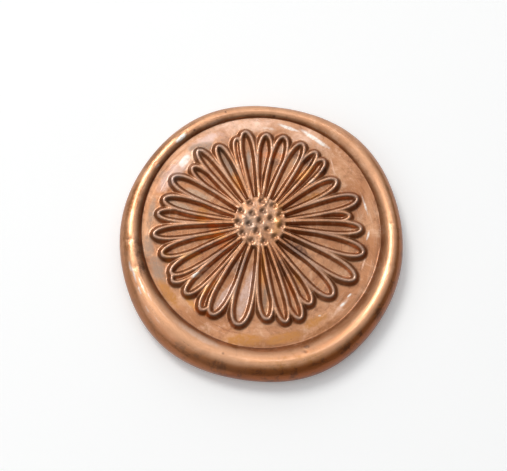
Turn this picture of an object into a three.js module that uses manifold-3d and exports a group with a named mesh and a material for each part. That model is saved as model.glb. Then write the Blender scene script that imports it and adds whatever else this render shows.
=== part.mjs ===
// A ready-made wax seal: sealing wax pressed with a daisy, the adhesive dot on its back, and the release
// liner that keeps the dot clean until the seal is stuck to an envelope.
// Units are millimetres and +Z is up. The origin is on the table, under the middle of the pool of wax.
import * as THREE from "three";
import { mergeVertices } from "three/addons/utils/BufferGeometryUtils.js";
import Module from "manifold-3d";

// Release liner: coated paper under the dot, with a tab to lift it by.
const LINER_THICKNESS = 0.12;
const LINER_MARGIN = 0.6; // paper left round the dot
const TAB_WIDTH = 7;
const TAB_CORNER_RADIUS = 1.2;
const TAB_INSET = 1.4; // the tab's end, in from the wax's mean edge
const TAB_BEARING = -60; // degrees from +X

// Adhesive dot: a disc of double-sided tape.
const DOT_RADIUS = 10;
const DOT_THICKNESS = 0.25;

// Stamped face: the round flat that the stamp's head left.
const FACE_RADIUS = 12.5;
const WAX_UNDER_FACE = 1.6; // thickness of the wax there

// Rolled rim: the wax that ran out round the stamp, which stood off the middle of the pool.
const RIM_WIDTH = 2.48; // mean of the narrow side and the wide side
const FACE_SHIFT_X = -0.31;
const FACE_SHIFT_Y = 0.94;
const CREST_RISE_SHARE = 0.31; // top of the rim over the face, as a share of the rim's width there
const CREST_SHARE = 0.47; // the crest's place on the way from the face's edge to the outer edge
const BELLY_RISE = 0.95; // widest line of the rim over the wax's underside
const FOOT_INSET = 0.7; // edge of the flat underside, in from the widest line
const POOL_WAVES = [
  // lobes round the edge, how far each stands out, and the bearing of the first in degrees
  { lobes: 2, height: 0.15, bearing: 79 },
  { lobes: 3, height: 0.03, bearing: 74 },
  { lobes: 4, height: 0.125, bearing: 49 },
  { lobes: 6, height: 0.09, bearing: 2 },
];

// Daisy: a raised line round every petal.
const FLOWER_SHIFT_X = -0.38; // from the middle of the face
const FLOWER_SHIFT_Y = 0.68;
const FLOWER_MARGIN = 0.9; // the face's radius less the longest petal
const PETAL_ROOT = 1; // radius at which a petal's two sides would meet
const WIDEST_PETAL = 2;
const ROOT_TAPER = 0.55; // below 1 the petal widens fast from its root
const TIP_BLUNTNESS = 6; // 2 would be an ellipse, and more is blunter
const LINE_RISE = 0.55; // over the face
const LINE_TOP = 0.2; // width along the top of a line
const LINE_FOOT = 1; // width along its foot
const FLOOR_RISE = 0.06; // inside of a petal over the face

// Eye of the daisy: a low dome with rings of dimples.
const EYE_RADIUS = 2.8;
const EYE_SHIFT_X = 0.04; // from the middle of the flower
const EYE_SHIFT_Y = 0.12;
const EYE_EDGE_RISE = 0.5; // over the face
const EYE_DOME_RISE = 0.15; // middle of the dome over its edge
const DIMPLE_RADIUS = 0.4;
const DIMPLE_RINGS = [
  // how many, the ring's radius as a share of the eye's, and the bearing of the first in degrees
  { count: 1, share: 0, bearing: 0 },
  { count: 6, share: 0.42, bearing: 25 },
  { count: 11, share: 0.8, bearing: -2 },
];

// Petals from the back of the flower to the front, so that a later one lies over an earlier one: bearing of
// the tip in degrees, reach as a share of the longest petal, and width as a share of the widest.
const PETALS = [
  [17, 0.82, 0.58],
  [116, 0.82, 0.6],
  [151, 0.79, 0.68],
  [227, 0.95, 0.78],
  [249, 0.96, 0.76],
  [313, 0.87, 0.74],
  [57, 0.84, 0.68],
  [97, 0.84, 0.72],
  [187, 0.91, 0.68],
  [211, 0.92, 0.76],
  [237, 0.93, 0.72],
  [286, 0.89, 0.78],
  [304, 0.95, 0.7],
  [42, 0.81, 0.73],
  [64, 0.85, 0.64],
  [86, 0.85, 0.76],
  [129, 0.81, 0.66],
  [141, 0.87, 0.62],
  [178, 0.88, 0.77],
  [199, 0.95, 0.73],
  [223, 0.92, 0.8],
  [326, 0.93, 0.92],
  [356, 0.97, 0.86],
  [296, 0.94, 0.68],
  [27, 0.92, 0.77],
  [74, 0.85, 0.75],
  [110, 0.87, 0.72],
  [164, 0.88, 0.86],
  [255, 0.95, 0.88],
  [341, 0.99, 0.92],
  [9, 0.92, 0.69],
  [270, 0.96, 1],
];

// Roundness of the meshes.
const STEPS_AROUND = 96;
const STEPS_PER_BEND = 5;
const STEPS_PER_PETAL_SIDE = 8;
const STEPS_ROUND_DIMPLE = 8;

// How the bodies are joined.
const OVERRUN = 0.1; // how far joined and cutting bodies run past the surfaces that they meet
const MERGE_DISTANCE = 1e-4; // closer points are one point
const HALVINGS = 30; // of the interval in which a petal's width is looked for

// Levels and places worked out from the sizes above.
const WAX_BOTTOM = LINER_THICKNESS + DOT_THICKNESS;
const FACE_LEVEL = WAX_BOTTOM + WAX_UNDER_FACE;
const POOL_RADIUS = FACE_RADIUS + RIM_WIDTH;
const FACE_CENTRE = new THREE.Vector2(FACE_SHIFT_X, FACE_SHIFT_Y);
const FLOWER_CENTRE = FACE_CENTRE.clone().add(new THREE.Vector2(FLOWER_SHIFT_X, FLOWER_SHIFT_Y));
const EYE_CENTRE = FLOWER_CENTRE.clone().add(new THREE.Vector2(EYE_SHIFT_X, EYE_SHIFT_Y));
const LONGEST_PETAL = FACE_RADIUS - FLOWER_MARGIN;
const WIDEST_AT = (ROOT_TAPER / (ROOT_TAPER + TIP_BLUNTNESS / 2)) ** (1 / TIP_BLUNTNESS);

const wasm = await Module();
wasm.setup();

const radians = THREE.MathUtils.degToRad;

// A point at a bearing in radians and a distance from the origin.
function polar(bearing, distance) {
  return new THREE.Vector2(Math.cos(bearing) * distance, Math.sin(bearing) * distance);
}

// A closed geometry as a solid that can be cut and joined.
function solid(geometry) {
  const bare = new THREE.BufferGeometry();
  bare.setAttribute("position", geometry.getAttribute("position"));
  bare.setIndex(geometry.index);
  const merged = mergeVertices(bare, MERGE_DISTANCE);
  const mesh = new wasm.Mesh({
    numProp: 3,
    vertProperties: merged.attributes.position.array,
    triVerts: new Uint32Array(merged.index.array),
  });
  return new wasm.Manifold(mesh);
}

// A solid back as a geometry.
function geometryOf(body) {
  const mesh = body.getMesh();
  const geometry = new THREE.BufferGeometry();
  geometry.setAttribute("position", new THREE.Float32BufferAttribute(mesh.vertProperties, 3));
  geometry.setIndex(new THREE.Uint32BufferAttribute(mesh.triVerts, 1));
  geometry.computeVertexNormals();
  return geometry;
}

// A closed geometry from outlines stacked upwards, with walls between neighbours and a cap at each end.
// The outlines run anticlockwise and have as many points each. A layer's z is one level for its whole
// outline, or a list with a level for each point.
function stack(layers) {
  const count = layers[0].outline.length;
  const faces = [];
  for (let layer = 0; layer + 1 < layers.length; layer++) {
    for (let i = 0; i < count; i++) {
      const a = layer * count + i;
      const b = layer * count + ((i + 1) % count);
      faces.push(a, b, b + count);
      faces.push(a, b + count, a + count);
    }
  }
  const top = (layers.length - 1) * count;
  for (const [a, b, c] of THREE.ShapeUtils.triangulateShape(layers[0].outline, [])) {
    faces.push(a, c, b);
  }
  for (const [a, b, c] of THREE.ShapeUtils.triangulateShape(layers.at(-1).outline, [])) {
    faces.push(top + a, top + b, top + c);
  }
  const positions = layers.flatMap(({ outline, z }) =>
    outline.flatMap(({ x, y }, i) => [x, y, Array.isArray(z) ? z[i] : z]),
  );
  const geometry = new THREE.BufferGeometry();
  geometry.setAttribute("position", new THREE.Float32BufferAttribute(positions, 3));
  geometry.setIndex(faces);
  return geometry;
}

// A quarter turn of a circle with a radius of 1, from (1, 0) at share 0 to (0, 1) at share 1.
function quarterTurn(share) {
  const turn = (share * Math.PI) / 2;
  return [Math.cos(turn), Math.sin(turn)];
}

// The pool's radius at a bearing in radians: a circle with a few shallow waves.
function poolRadius(bearing) {
  let radius = POOL_RADIUS;
  for (const wave of POOL_WAVES) {
    radius += wave.height * Math.cos(wave.lobes * (bearing - radians(wave.bearing)));
  }
  return radius;
}

// The pool of wax as rings of points: from the edge of its underside out round the belly, up over the
// crest of the rim and down to the edge of the stamped face. The crest is higher where the rim is wider. The
// inner side rises as the sine of a quarter turn, to a power that grows with the rim's width.
function pool() {
  const bearings = Array.from({ length: STEPS_AROUND }, (_, i) => (i / STEPS_AROUND) * 2 * Math.PI);
  const foot = bearings.map((bearing) => polar(bearing, poolRadius(bearing) - FOOT_INSET));
  const edge = bearings.map((bearing) => polar(bearing, poolRadius(bearing)));
  const face = bearings.map((bearing) => polar(bearing, FACE_RADIUS).add(FACE_CENTRE));
  const between = (from, to, share) => from.map((point, i) => point.clone().lerp(to[i], share));
  const crest = between(face, edge, CREST_SHARE);
  const width = face.map((point, i) => point.distanceTo(edge[i]));
  const bellyLevel = WAX_BOTTOM + BELLY_RISE;
  const crestLevel = width.map((wide) => FACE_LEVEL + CREST_RISE_SHARE * wide);
  const layers = [];
  for (let i = 0; i <= STEPS_PER_BEND; i++) {
    const [down, out] = quarterTurn(i / STEPS_PER_BEND);
    layers.push({ outline: between(foot, edge, out), z: bellyLevel - BELLY_RISE * down });
  }
  for (let i = 1; i <= STEPS_PER_BEND; i++) {
    const [out, up] = quarterTurn(i / STEPS_PER_BEND);
    const z = crestLevel.map((top) => bellyLevel + (top - bellyLevel) * up);
    layers.push({ outline: between(crest, edge, out), z });
  }
  for (let i = STEPS_PER_BEND - 1; i >= 0; i--) {
    const [inwards, up] = quarterTurn(i / STEPS_PER_BEND);
    const z = crestLevel.map((top) => FACE_LEVEL + (top - FACE_LEVEL) * up);
    layers.push({ outline: between(crest, face, inwards), z });
  }
  return stack(layers);
}

// Width of a petal as a share of its widest, at a share of the way from its root to its tip.
function petalWidth(share) {
  const swell = (s) => s ** ROOT_TAPER * Math.sqrt(Math.max(0, 1 - s ** TIP_BLUNTNESS));
  return swell(share) / swell(WIDEST_AT);
}

// The share of the way, on the root's side of the widest place or on the tip's, at which a petal has
// narrowed to a width given as a share of its widest. The end is 0 for the root's side and 1 for the tip's.
function shareOfWidth(width, end) {
  let narrow = end;
  let wide = WIDEST_AT;
  for (let i = 0; i < HALVINGS; i++) {
    const middle = (narrow + wide) / 2;
    if (petalWidth(middle) > width) wide = middle;
    else narrow = middle;
  }
  return wide;
}

// A petal's outline: root, one side, tip and the other side. A positive offset gives a longer and wider
// petal, and a negative one what is left between the two sides.
function petalOutline([bearing, reach, width], offset) {
  const outwards = Math.max(offset, 0);
  const inwards = Math.max(-offset, 0);
  const length = reach * LONGEST_PETAL - PETAL_ROOT + outwards;
  const halfWidth = (width * WIDEST_PETAL) / 2 + outwards;
  const first = inwards > 0 ? shareOfWidth(inwards / halfWidth, 0) : 0;
  const last = inwards > 0 ? shareOfWidth(inwards / halfWidth, 1) : 1;
  const side = [];
  for (let i = 0; i <= STEPS_PER_PETAL_SIDE; i++) {
    const along = first + (last - first) * Math.sin(((i / STEPS_PER_PETAL_SIDE) * Math.PI) / 2);
    const half = Math.max(0, halfWidth * petalWidth(along) - inwards);
    side.push(new THREE.Vector2(PETAL_ROOT + length * along, half));
  }
  const root = side.shift();
  const tip = side.pop();
  const right = side.map(({ x, y }) => new THREE.Vector2(x, -y));
  const outline = [root, ...right, tip, ...side.reverse()];
  const middle = new THREE.Vector2();
  return outline.map((point) => point.rotateAround(middle, radians(bearing)).add(FLOWER_CENTRE));
}

// The raised lines of the flower. Each petal is a block with sloping sides, laid over those behind it and
// then hollowed out to its floor.
function petals() {
  const slope = (LINE_FOOT - LINE_TOP) / 2 / LINE_RISE;
  let relief = null;
  for (const petal of PETALS) {
    const foot = petalOutline(petal, LINE_FOOT / 2);
    const top = petalOutline(petal, LINE_TOP / 2);
    const block = stack([
      { outline: foot, z: FACE_LEVEL - OVERRUN },
      { outline: foot, z: FACE_LEVEL },
      { outline: top, z: FACE_LEVEL + LINE_RISE },
    ]);
    const floor = petalOutline(petal, slope * FLOOR_RISE - LINE_FOOT / 2);
    const mouth = petalOutline(petal, slope * OVERRUN - LINE_TOP / 2);
    const hollow = stack([
      { outline: floor, z: FACE_LEVEL + FLOOR_RISE },
      { outline: mouth, z: FACE_LEVEL + LINE_RISE + OVERRUN },
    ]);
    relief = relief ? relief.add(solid(block)) : solid(block);
    relief = relief.subtract(solid(hollow));
  }
  return relief;
}

// Level of the eye's dome at a share of its radius.
function eyeLevel(share) {
  return FACE_LEVEL + EYE_EDGE_RISE + EYE_DOME_RISE * (1 - share ** 2);
}

// The eye's dome, from a little under the face.
function dome() {
  const base = FACE_LEVEL - OVERRUN;
  const profile = [new THREE.Vector2(0, base), new THREE.Vector2(EYE_RADIUS, base)];
  for (let i = 0; i <= STEPS_PER_BEND; i++) {
    const share = 1 - i / STEPS_PER_BEND;
    profile.push(new THREE.Vector2(EYE_RADIUS * share, eyeLevel(share)));
  }
  const geometry = new THREE.LatheGeometry(profile, STEPS_AROUND / 2);
  geometry.rotateX(Math.PI / 2);
  geometry.translate(EYE_CENTRE.x, EYE_CENTRE.y, 0);
  return geometry;
}

// The balls that leave the dimples, each with its middle on the dome.
function dimples() {
  const balls = [];
  for (const { count, share, bearing } of DIMPLE_RINGS) {
    for (let i = 0; i < count; i++) {
      const ball = new THREE.SphereGeometry(DIMPLE_RADIUS, STEPS_ROUND_DIMPLE, STEPS_ROUND_DIMPLE / 2);
      const place = polar(radians(bearing) + (i / count) * 2 * Math.PI, share * EYE_RADIUS);
      ball.rotateX(Math.PI / 2);
      ball.translate(EYE_CENTRE.x + place.x, EYE_CENTRE.y + place.y, eyeLevel(share));
      balls.push(ball);
    }
  }
  return balls;
}

function waxSeal() {
  let wax = solid(pool()).add(petals()).add(solid(dome()));
  for (const ball of dimples()) {
    wax = wax.subtract(solid(ball));
  }
  const copper = new THREE.MeshStandardMaterial({ color: 0xc08a66, roughness: 0.32, metalness: 0.6 });
  const mesh = new THREE.Mesh(geometryOf(wax), copper);
  mesh.name = "wax_seal";
  return mesh;
}

function adhesiveDot() {
  const disc = new THREE.CylinderGeometry(DOT_RADIUS, DOT_RADIUS, DOT_THICKNESS, STEPS_AROUND);
  disc.rotateX(Math.PI / 2);
  const tape = new THREE.MeshStandardMaterial({ color: 0xe6e4dc, roughness: 0.45, metalness: 0 });
  const mesh = new THREE.Mesh(disc, tape);
  mesh.name = "adhesive_dot";
  mesh.position.z = LINER_THICKNESS + DOT_THICKNESS / 2;
  return mesh;
}

function releaseLiner() {
  const radius = DOT_RADIUS + LINER_MARGIN;
  const joinAngle = Math.asin(TAB_WIDTH / 2 / radius);
  const cornerX = POOL_RADIUS - TAB_INSET - TAB_CORNER_RADIUS;
  const cornerY = TAB_WIDTH / 2 - TAB_CORNER_RADIUS;
  const outline = new THREE.Shape();
  outline.absarc(0, 0, radius, joinAngle, 2 * Math.PI - joinAngle);
  outline.absarc(cornerX, -cornerY, TAB_CORNER_RADIUS, -Math.PI / 2, 0);
  outline.absarc(cornerX, cornerY, TAB_CORNER_RADIUS, 0, Math.PI / 2);
  const cut = { depth: LINER_THICKNESS, bevelEnabled: false, curveSegments: STEPS_AROUND / 2 };
  const paper = new THREE.MeshStandardMaterial({ color: 0xf2ead2, roughness: 0.5, metalness: 0 });
  const mesh = new THREE.Mesh(new THREE.ExtrudeGeometry(outline, cut), paper);
  mesh.name = "release_liner";
  mesh.rotation.z = radians(TAB_BEARING);
  return mesh;
}

const seal = new THREE.Group();
seal.add(waxSeal(), adhesiveDot(), releaseLiner());

export default seal;
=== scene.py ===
# A ready-made wax seal: copper sealing wax pressed with a daisy, on an adhesive dot and a release liner.
# Everything is in metres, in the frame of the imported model: +Z is up, out of the stamped face.
import math

import bpy
import mathutils
import numpy as np
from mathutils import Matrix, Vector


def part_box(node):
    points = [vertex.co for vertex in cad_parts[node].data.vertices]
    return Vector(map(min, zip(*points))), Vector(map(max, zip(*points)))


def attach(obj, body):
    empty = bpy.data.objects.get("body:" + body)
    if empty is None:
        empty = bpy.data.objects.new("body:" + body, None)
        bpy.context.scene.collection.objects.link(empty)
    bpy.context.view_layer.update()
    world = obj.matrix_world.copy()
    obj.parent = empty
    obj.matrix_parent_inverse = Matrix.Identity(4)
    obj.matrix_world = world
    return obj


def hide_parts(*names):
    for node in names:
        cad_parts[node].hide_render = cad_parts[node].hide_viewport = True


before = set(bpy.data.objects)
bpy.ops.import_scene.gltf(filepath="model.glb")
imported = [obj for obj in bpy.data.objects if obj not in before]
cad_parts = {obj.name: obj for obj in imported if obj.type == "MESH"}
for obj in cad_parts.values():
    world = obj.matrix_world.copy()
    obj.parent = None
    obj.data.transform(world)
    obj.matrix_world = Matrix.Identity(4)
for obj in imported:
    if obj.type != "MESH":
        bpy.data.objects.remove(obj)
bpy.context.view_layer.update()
MM = 0.001

# Release liner
# Cream paper, 0.12 mm thick, with a silicone coat that the tape lets go of. It is die-cut to a disc with a
# finger tab, and lies on the table with the seal on top. The tab's end is bent up a little from handling.
LINER_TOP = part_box("release_liner")[1].z
LINER_MARGIN = 0.6 * MM
TAB_REACH = 13.55 * MM
TAB_HALF_WIDTH = 3.5 * MM
TAB_SQUARENESS = 9
TAB_BEARING = math.radians(-60)
TAB_LIFT = 0.1 * MM
DIE_MARK_DEPTH = 0.015 * MM
DIE_MARK_WIDTH = 0.12 * MM
DOT_RADIUS = (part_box("adhesive_dot")[1].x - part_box("adhesive_dot")[0].x) / 2
LINER_RADIUS = DOT_RADIUS + LINER_MARGIN
LINER_AROUND = 360
# Faces that meet at more than this angle have a sharp edge between them
CUT_EDGE_ANGLE = math.radians(50)


def closed_skin(name, rings, upper_pole, lower_pole):
    """A closed mesh from rings of points: rings[i, j] is point j of ring i, counted anticlockwise from above,
    from the ring round the upper pole to the ring round the lower one. Neighbouring rings are joined by
    four-sided faces and each pole is joined to its ring by a fan, so every face points outwards."""
    count, around = rings.shape[:2]
    points = np.concatenate([rings.reshape(-1, 3), [upper_pole, lower_pole]])
    here = np.arange(around)
    after = (here + 1) % around
    start = np.arange(count - 1)[:, None] * around
    walls = np.stack([start + here, start + around + here, start + around + after, start + after], -1)
    upper_fan = np.stack([np.full(around, count * around), here, after], -1)
    last = (count - 1) * around
    lower_fan = np.stack([np.full(around, count * around + 1), last + after, last + here], -1)
    mesh = bpy.data.meshes.new(name)
    faces = walls.reshape(-1, 4).tolist() + upper_fan.tolist() + lower_fan.tolist()
    mesh.from_pydata(points.tolist(), [], faces)
    mesh.shade_smooth()
    mesh.update()
    piece = bpy.data.objects.new(name, mesh)
    bpy.context.scene.collection.objects.link(piece)
    return piece


def liner_reach(bearing):
    """The liner's radius at a bearing: the larger of the disc's and the tab's. The tab is half a
    superellipse, 1 over the root of order p of (cos / reach) to the p plus (sin / half-width) to the p."""
    turn = bearing - TAB_BEARING
    ahead = np.maximum(np.cos(turn), 0) / TAB_REACH
    aside = np.abs(np.sin(turn)) / TAB_HALF_WIDTH
    tab = (ahead**TAB_SQUARENESS + aside**TAB_SQUARENESS) ** (-1 / TAB_SQUARENESS)
    return np.where(np.cos(turn) > 0, np.maximum(tab, LINER_RADIUS), LINER_RADIUS)


def liner_surface():
    """The top from the middle out, with a groove pressed by the dot's die at the dot's radius, then round the
    cut edge and back in underneath. The tab rises with the square of how far it is past the disc."""
    bearing = np.linspace(0, 2 * np.pi, LINER_AROUND, endpoint=False)
    reach = liner_reach(bearing)
    groove = DOT_RADIUS + DIE_MARK_WIDTH * np.linspace(-1, 1, 9)
    inner = np.concatenate([np.linspace(0.1, 0.95, 12) * DOT_RADIUS, groove])
    radii = [np.full_like(bearing, r) for r in inner]
    radii += [LINER_RADIUS + (reach - LINER_RADIUS) * s for s in np.linspace(0, 1, 9)]
    radii = np.array(radii)
    lift = TAB_LIFT * np.maximum(0, (radii - LINER_RADIUS) / (TAB_REACH - LINER_RADIUS)) ** 2
    mark = DIE_MARK_DEPTH * np.exp(-(((radii - DOT_RADIUS) / (DIE_MARK_WIDTH / 2)) ** 2))
    flat = np.stack([radii * np.cos(bearing), radii * np.sin(bearing)], -1)
    top = np.concatenate([flat, (LINER_TOP + lift - mark)[..., None]], -1)
    bottom = np.concatenate([flat, lift[..., None]], -1)[::-1]
    return np.concatenate([top, bottom])


def feed(tree, socket, value):
    """Sets a socket to a value, or links it to another node's output where the value is one."""
    if isinstance(value, bpy.types.NodeSocket):
        tree.links.new(value, socket)
    else:
        socket.default_value = value


def node(tree, kind, settings=None, **inputs):
    """A shader node with its settings and its inputs, which are values or other nodes' outputs. An input's
    name has _ where Blender's has a space."""
    made = tree.nodes.new("ShaderNode" + kind)
    for name, value in (settings or {}).items():
        setattr(made, name, value)
    for name, value in inputs.items():
        feed(tree, made.inputs[name.replace("_", " ")], value)
    return made


def maths(tree, operation, *values):
    """The result of a Math node on these values."""
    made = node(tree, "Math", {"operation": operation})
    for socket, value in zip(made.inputs, values):
        feed(tree, socket, value)
    return made.outputs[0]


def blend_colours(tree, factor, under, over, how="MIX"):
    """The colour under, with the colour over laid on it by factor, or multiplied into it by factor. A Mix
    node's sockets for these are its inputs 0, 6 and 7, and its colour comes out of output 2."""
    made = node(tree, "Mix", {"data_type": "RGBA", "blend_type": how})
    for index, value in ((0, factor), (6, under), (7, over)):
        feed(tree, made.inputs[index], value)
    return made.outputs[2]


def ramp(tree, value, low, high, to_low=0.0, to_high=1.0):
    """Value carried smoothly from the range low to high onto the range to_low to to_high."""
    made = node(tree, "MapRange", {"interpolation_type": "SMOOTHSTEP"}, Value=value, From_Min=low,
                From_Max=high, To_Min=to_low, To_Max=to_high)
    return made.outputs[0]


def screen_colour(red, green, blue):
    """A colour given as a screen shows it, from 0 to 255, as the linear colour that a shader takes."""
    shares = np.array([red, green, blue]) / 255
    linear = np.where(shares <= 0.04045, shares / 12.92, ((shares + 0.055) / 1.055) ** 2.4)
    return (*linear.tolist(), 1.0)


def new_material(name):
    """A material, its node tree and its Principled BSDF."""
    made = bpy.data.materials.new(name)
    made.use_nodes = True
    return made, made.node_tree, made.node_tree.nodes["Principled BSDF"]


def new_group(name, inputs, outputs):
    """An empty node group with these sockets, given as {name: type and default} and {name: type}."""
    group = bpy.data.node_groups.new(name, "ShaderNodeTree")
    for title, (kind, default) in inputs.items():
        socket = group.interface.new_socket(title, in_out="INPUT", socket_type="NodeSocket" + kind)
        if default is not None:
            socket.default_value = default
    for title, kind in outputs.items():
        group.interface.new_socket(title, in_out="OUTPUT", socket_type="NodeSocket" + kind)
    return group, group.nodes.new("NodeGroupInput").outputs, group.nodes.new("NodeGroupOutput").inputs


def fine_grain_group():
    """Grain of a given size on Object coordinates: a height from 0 to 1, and soft blotches ten times
    larger."""
    group, given, result = new_group(
        "fine grain",
        {"Coordinates": ("Vector", None), "Grain Size": ("Float", 0.0002)},
        {"Height": "Float", "Blotches": "Float"},
    )
    per_metre = maths(group, "DIVIDE", 1.0, given["Grain Size"])
    fine = node(group, "TexNoise", Vector=given["Coordinates"], Scale=per_metre, Detail=3.0, Roughness=0.6)
    wide_scale = maths(group, "MULTIPLY", per_metre, 0.1)
    wide = node(group, "TexNoise", Vector=given["Coordinates"], Scale=wide_scale, Detail=2.0)
    group.links.new(fine.outputs["Fac"], result["Height"])
    group.links.new(wide.outputs["Fac"], result["Blotches"])
    return group


fine_grain = fine_grain_group()


def grain(tree, coordinates, size):
    """The fine grain group placed in a material."""
    made = tree.nodes.new("ShaderNodeGroup")
    made.node_tree = fine_grain
    made.inputs["Grain Size"].default_value = size
    tree.links.new(coordinates, made.inputs["Coordinates"])
    return made.outputs


def liner_material():
    """Cream glassine: paper fibres under a thin silicone coat, with faint clouding."""
    made, tree, skin = new_material("silicone coated paper")
    where = node(tree, "TexCoord").outputs["Object"]
    fibre = grain(tree, where, 0.25 * MM)
    colour = blend_colours(tree, ramp(tree, fibre["Blotches"], 0.35, 0.65),
                           screen_colour(245, 233, 213), screen_colour(250, 242, 227))
    colour = blend_colours(tree, ramp(tree, fibre["Height"], 0.55, 0.75, 0.0, 0.35),
                           colour, screen_colour(236, 220, 198))
    tree.links.new(colour, skin.inputs["Base Color"])
    tree.links.new(ramp(tree, fibre["Height"], 0.3, 0.7, 0.38, 0.5), skin.inputs["Roughness"])
    bump = node(tree, "Bump", Height=fibre["Height"], Strength=0.4, Distance=0.01 * MM)
    tree.links.new(bump.outputs["Normal"], skin.inputs["Normal"])
    return made


liner = closed_skin("liner_sheet", liner_surface(), (0, 0, LINER_TOP), (0, 0, 0))
liner.data.set_sharp_from_angle(angle=CUT_EDGE_ANGLE)
liner.data.materials.append(liner_material())
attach(liner, "liner")
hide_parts("release_liner")

# Adhesive dot
# A die-cut disc of milky double-sided tape, 20 mm across and 0.25 mm thick. It is pressed onto the flat back
# of the wax, and a few bubbles of air stay trapped in it.
DOT_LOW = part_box("adhesive_dot")[0].z
DOT_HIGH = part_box("adhesive_dot")[1].z
DOT_EDGE = 0.04 * MM
DOT_AROUND = 240
DOT_RINGS = 10


def dot_surface():
    """A disc whose cut edge bulges: the radius falls off by the edge size times 1 less the sine of the turn
    from the top face to the bottom one. The top touches the wax and the bottom touches the liner."""
    bearing = np.linspace(0, 2 * np.pi, DOT_AROUND, endpoint=False)
    turn = np.linspace(0, np.pi, 9)
    radii = np.concatenate([
        np.linspace(0.1, 0.98, DOT_RINGS) * DOT_RADIUS,
        DOT_RADIUS - DOT_EDGE * (1 - np.sin(turn)),
        np.linspace(0.98, 0.1, DOT_RINGS) * DOT_RADIUS,
    ])
    middle = (DOT_LOW + DOT_HIGH) / 2
    side = middle + (DOT_HIGH - DOT_LOW) / 2 * np.cos(turn)
    height = np.concatenate([np.full(DOT_RINGS, DOT_HIGH), side, np.full(DOT_RINGS, DOT_LOW)])
    across = radii[:, None] * np.cos(bearing)
    along = radii[:, None] * np.sin(bearing)
    return np.stack([across, along, np.broadcast_to(height[:, None], across.shape)], -1)


def tape_material():
    """Milky acrylic tape with a tacky shine, darker where an air bubble is trapped against the wax."""
    made, tree, skin = new_material("double sided tape")
    where = node(tree, "TexCoord").outputs["Object"]
    haze = grain(tree, where, 0.4 * MM)
    cells = node(tree, "TexVoronoi", Vector=where, Scale=0.55 / MM)
    bubble = ramp(tree, cells.outputs["Distance"], 0.1, 0.2, 1.0, 0.0)
    bubble = maths(tree, "MULTIPLY", bubble, ramp(tree, haze["Blotches"], 0.5, 0.62))
    colour = blend_colours(tree, ramp(tree, haze["Blotches"], 0.3, 0.7),
                           screen_colour(224, 221, 212), screen_colour(238, 236, 229))
    colour = blend_colours(tree, bubble, colour, screen_colour(196, 184, 170))
    tree.links.new(colour, skin.inputs["Base Color"])
    tree.links.new(ramp(tree, haze["Height"], 0.3, 0.7, 0.25, 0.4), skin.inputs["Roughness"])
    rise = maths(tree, "ADD", bubble, maths(tree, "MULTIPLY", haze["Height"], 0.3))
    bump = node(tree, "Bump", Height=rise, Strength=0.5, Distance=0.03 * MM)
    tree.links.new(bump.outputs["Normal"], skin.inputs["Normal"])
    return made


dot = closed_skin("tape_dot", dot_surface(), (0, 0, DOT_HIGH), (0, 0, DOT_LOW))
dot.data.set_sharp_from_angle(angle=CUT_EDGE_ANGLE)
dot.data.materials.append(tape_material())
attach(dot, "seal")
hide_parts("adhesive_dot")

# Wax seal
# Pearly copper sealing wax, melted, poured and pressed with a 25 mm stamp while soft. What ran out round the
# stamp set as a rolled rim, wider on the near side because the stamp stood off the middle of the pool.
WAX_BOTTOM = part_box("wax_seal")[0].z
FACE_LEVEL = WAX_BOTTOM + 1.6 * MM
FACE_RADIUS = 12.5 * MM
FACE_CENTRE = np.array([-0.31, 0.94]) * MM
FACE_WAVE_HEIGHT = 0.012 * MM
RIM_WIDTH = 2.48 * MM
# As shares of the rim's width at each bearing: how high its crest stands over the face, how far out it lies
# on average, and how much further out it lies at one bearing, which is in degrees
CREST_RISE_SHARE = 0.31
CREST_SHARE = 0.47
CREST_SWAY = 0.08
CREST_SWAY_BEARING = 350
# The power of the inner side's curve where it is fullest, what is added to it where the side is most hollow,
# and the bearing of that place in degrees
FULL_POWER = 0.42
HOLLOW_POWER = 0.9
HOLLOW_BEARING = 332
BELLY_RISE = 0.95 * MM
BELLY_LEVEL = WAX_BOTTOM + BELLY_RISE
FOOT_INSET = 0.7 * MM
# Lobes round the edge, how far each stands out, and the bearing of the first in degrees
POOL_WAVES = ((2, 0.15 * MM, 79), (3, 0.03 * MM, 74), (4, 0.125 * MM, 49), (6, 0.09 * MM, 2))
# Lumps in the rim: their height, and how far from the face's edge they reach it
LUMP_HEIGHT = 0.012 * MM
LUMP_START = 0.6 * MM

# The daisy's lines
FLOWER_CENTRE = FACE_CENTRE + np.array([-0.38, 0.68]) * MM
LONGEST_PETAL = FACE_RADIUS - 0.9 * MM
PETAL_ROOT = 1 * MM
WIDEST_PETAL = 2 * MM
ROOT_TAPER = 0.55
TIP_BLUNTNESS = 6
LINE_RISE = 0.55 * MM
LINE_TOP = 0.2 * MM
LINE_FOOT = 1 * MM
FLOOR_RISE = 0.06 * MM
PETAL_STEPS = 40
# Petals from the back of the flower to the front, a later one over an earlier one: bearing of the tip in
# degrees, reach as a share of the longest petal, and width as a share of the widest
PETALS = (
    (17, 0.82, 0.58), (116, 0.82, 0.6), (151, 0.79, 0.68), (227, 0.95, 0.78),
    (249, 0.96, 0.76), (313, 0.87, 0.74), (57, 0.84, 0.68), (97, 0.84, 0.72),
    (187, 0.91, 0.68), (211, 0.92, 0.76), (237, 0.93, 0.72), (286, 0.89, 0.78),
    (304, 0.95, 0.7), (42, 0.81, 0.73), (64, 0.85, 0.64), (86, 0.85, 0.76),
    (129, 0.81, 0.66), (141, 0.87, 0.62), (178, 0.88, 0.77), (199, 0.95, 0.73),
    (223, 0.92, 0.8), (326, 0.93, 0.92), (356, 0.97, 0.86), (296, 0.94, 0.68),
    (27, 0.92, 0.77), (74, 0.85, 0.75), (110, 0.87, 0.72), (164, 0.88, 0.86),
    (255, 0.95, 0.88), (341, 0.99, 0.92), (9, 0.92, 0.69), (270, 0.96, 1),
)

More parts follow.
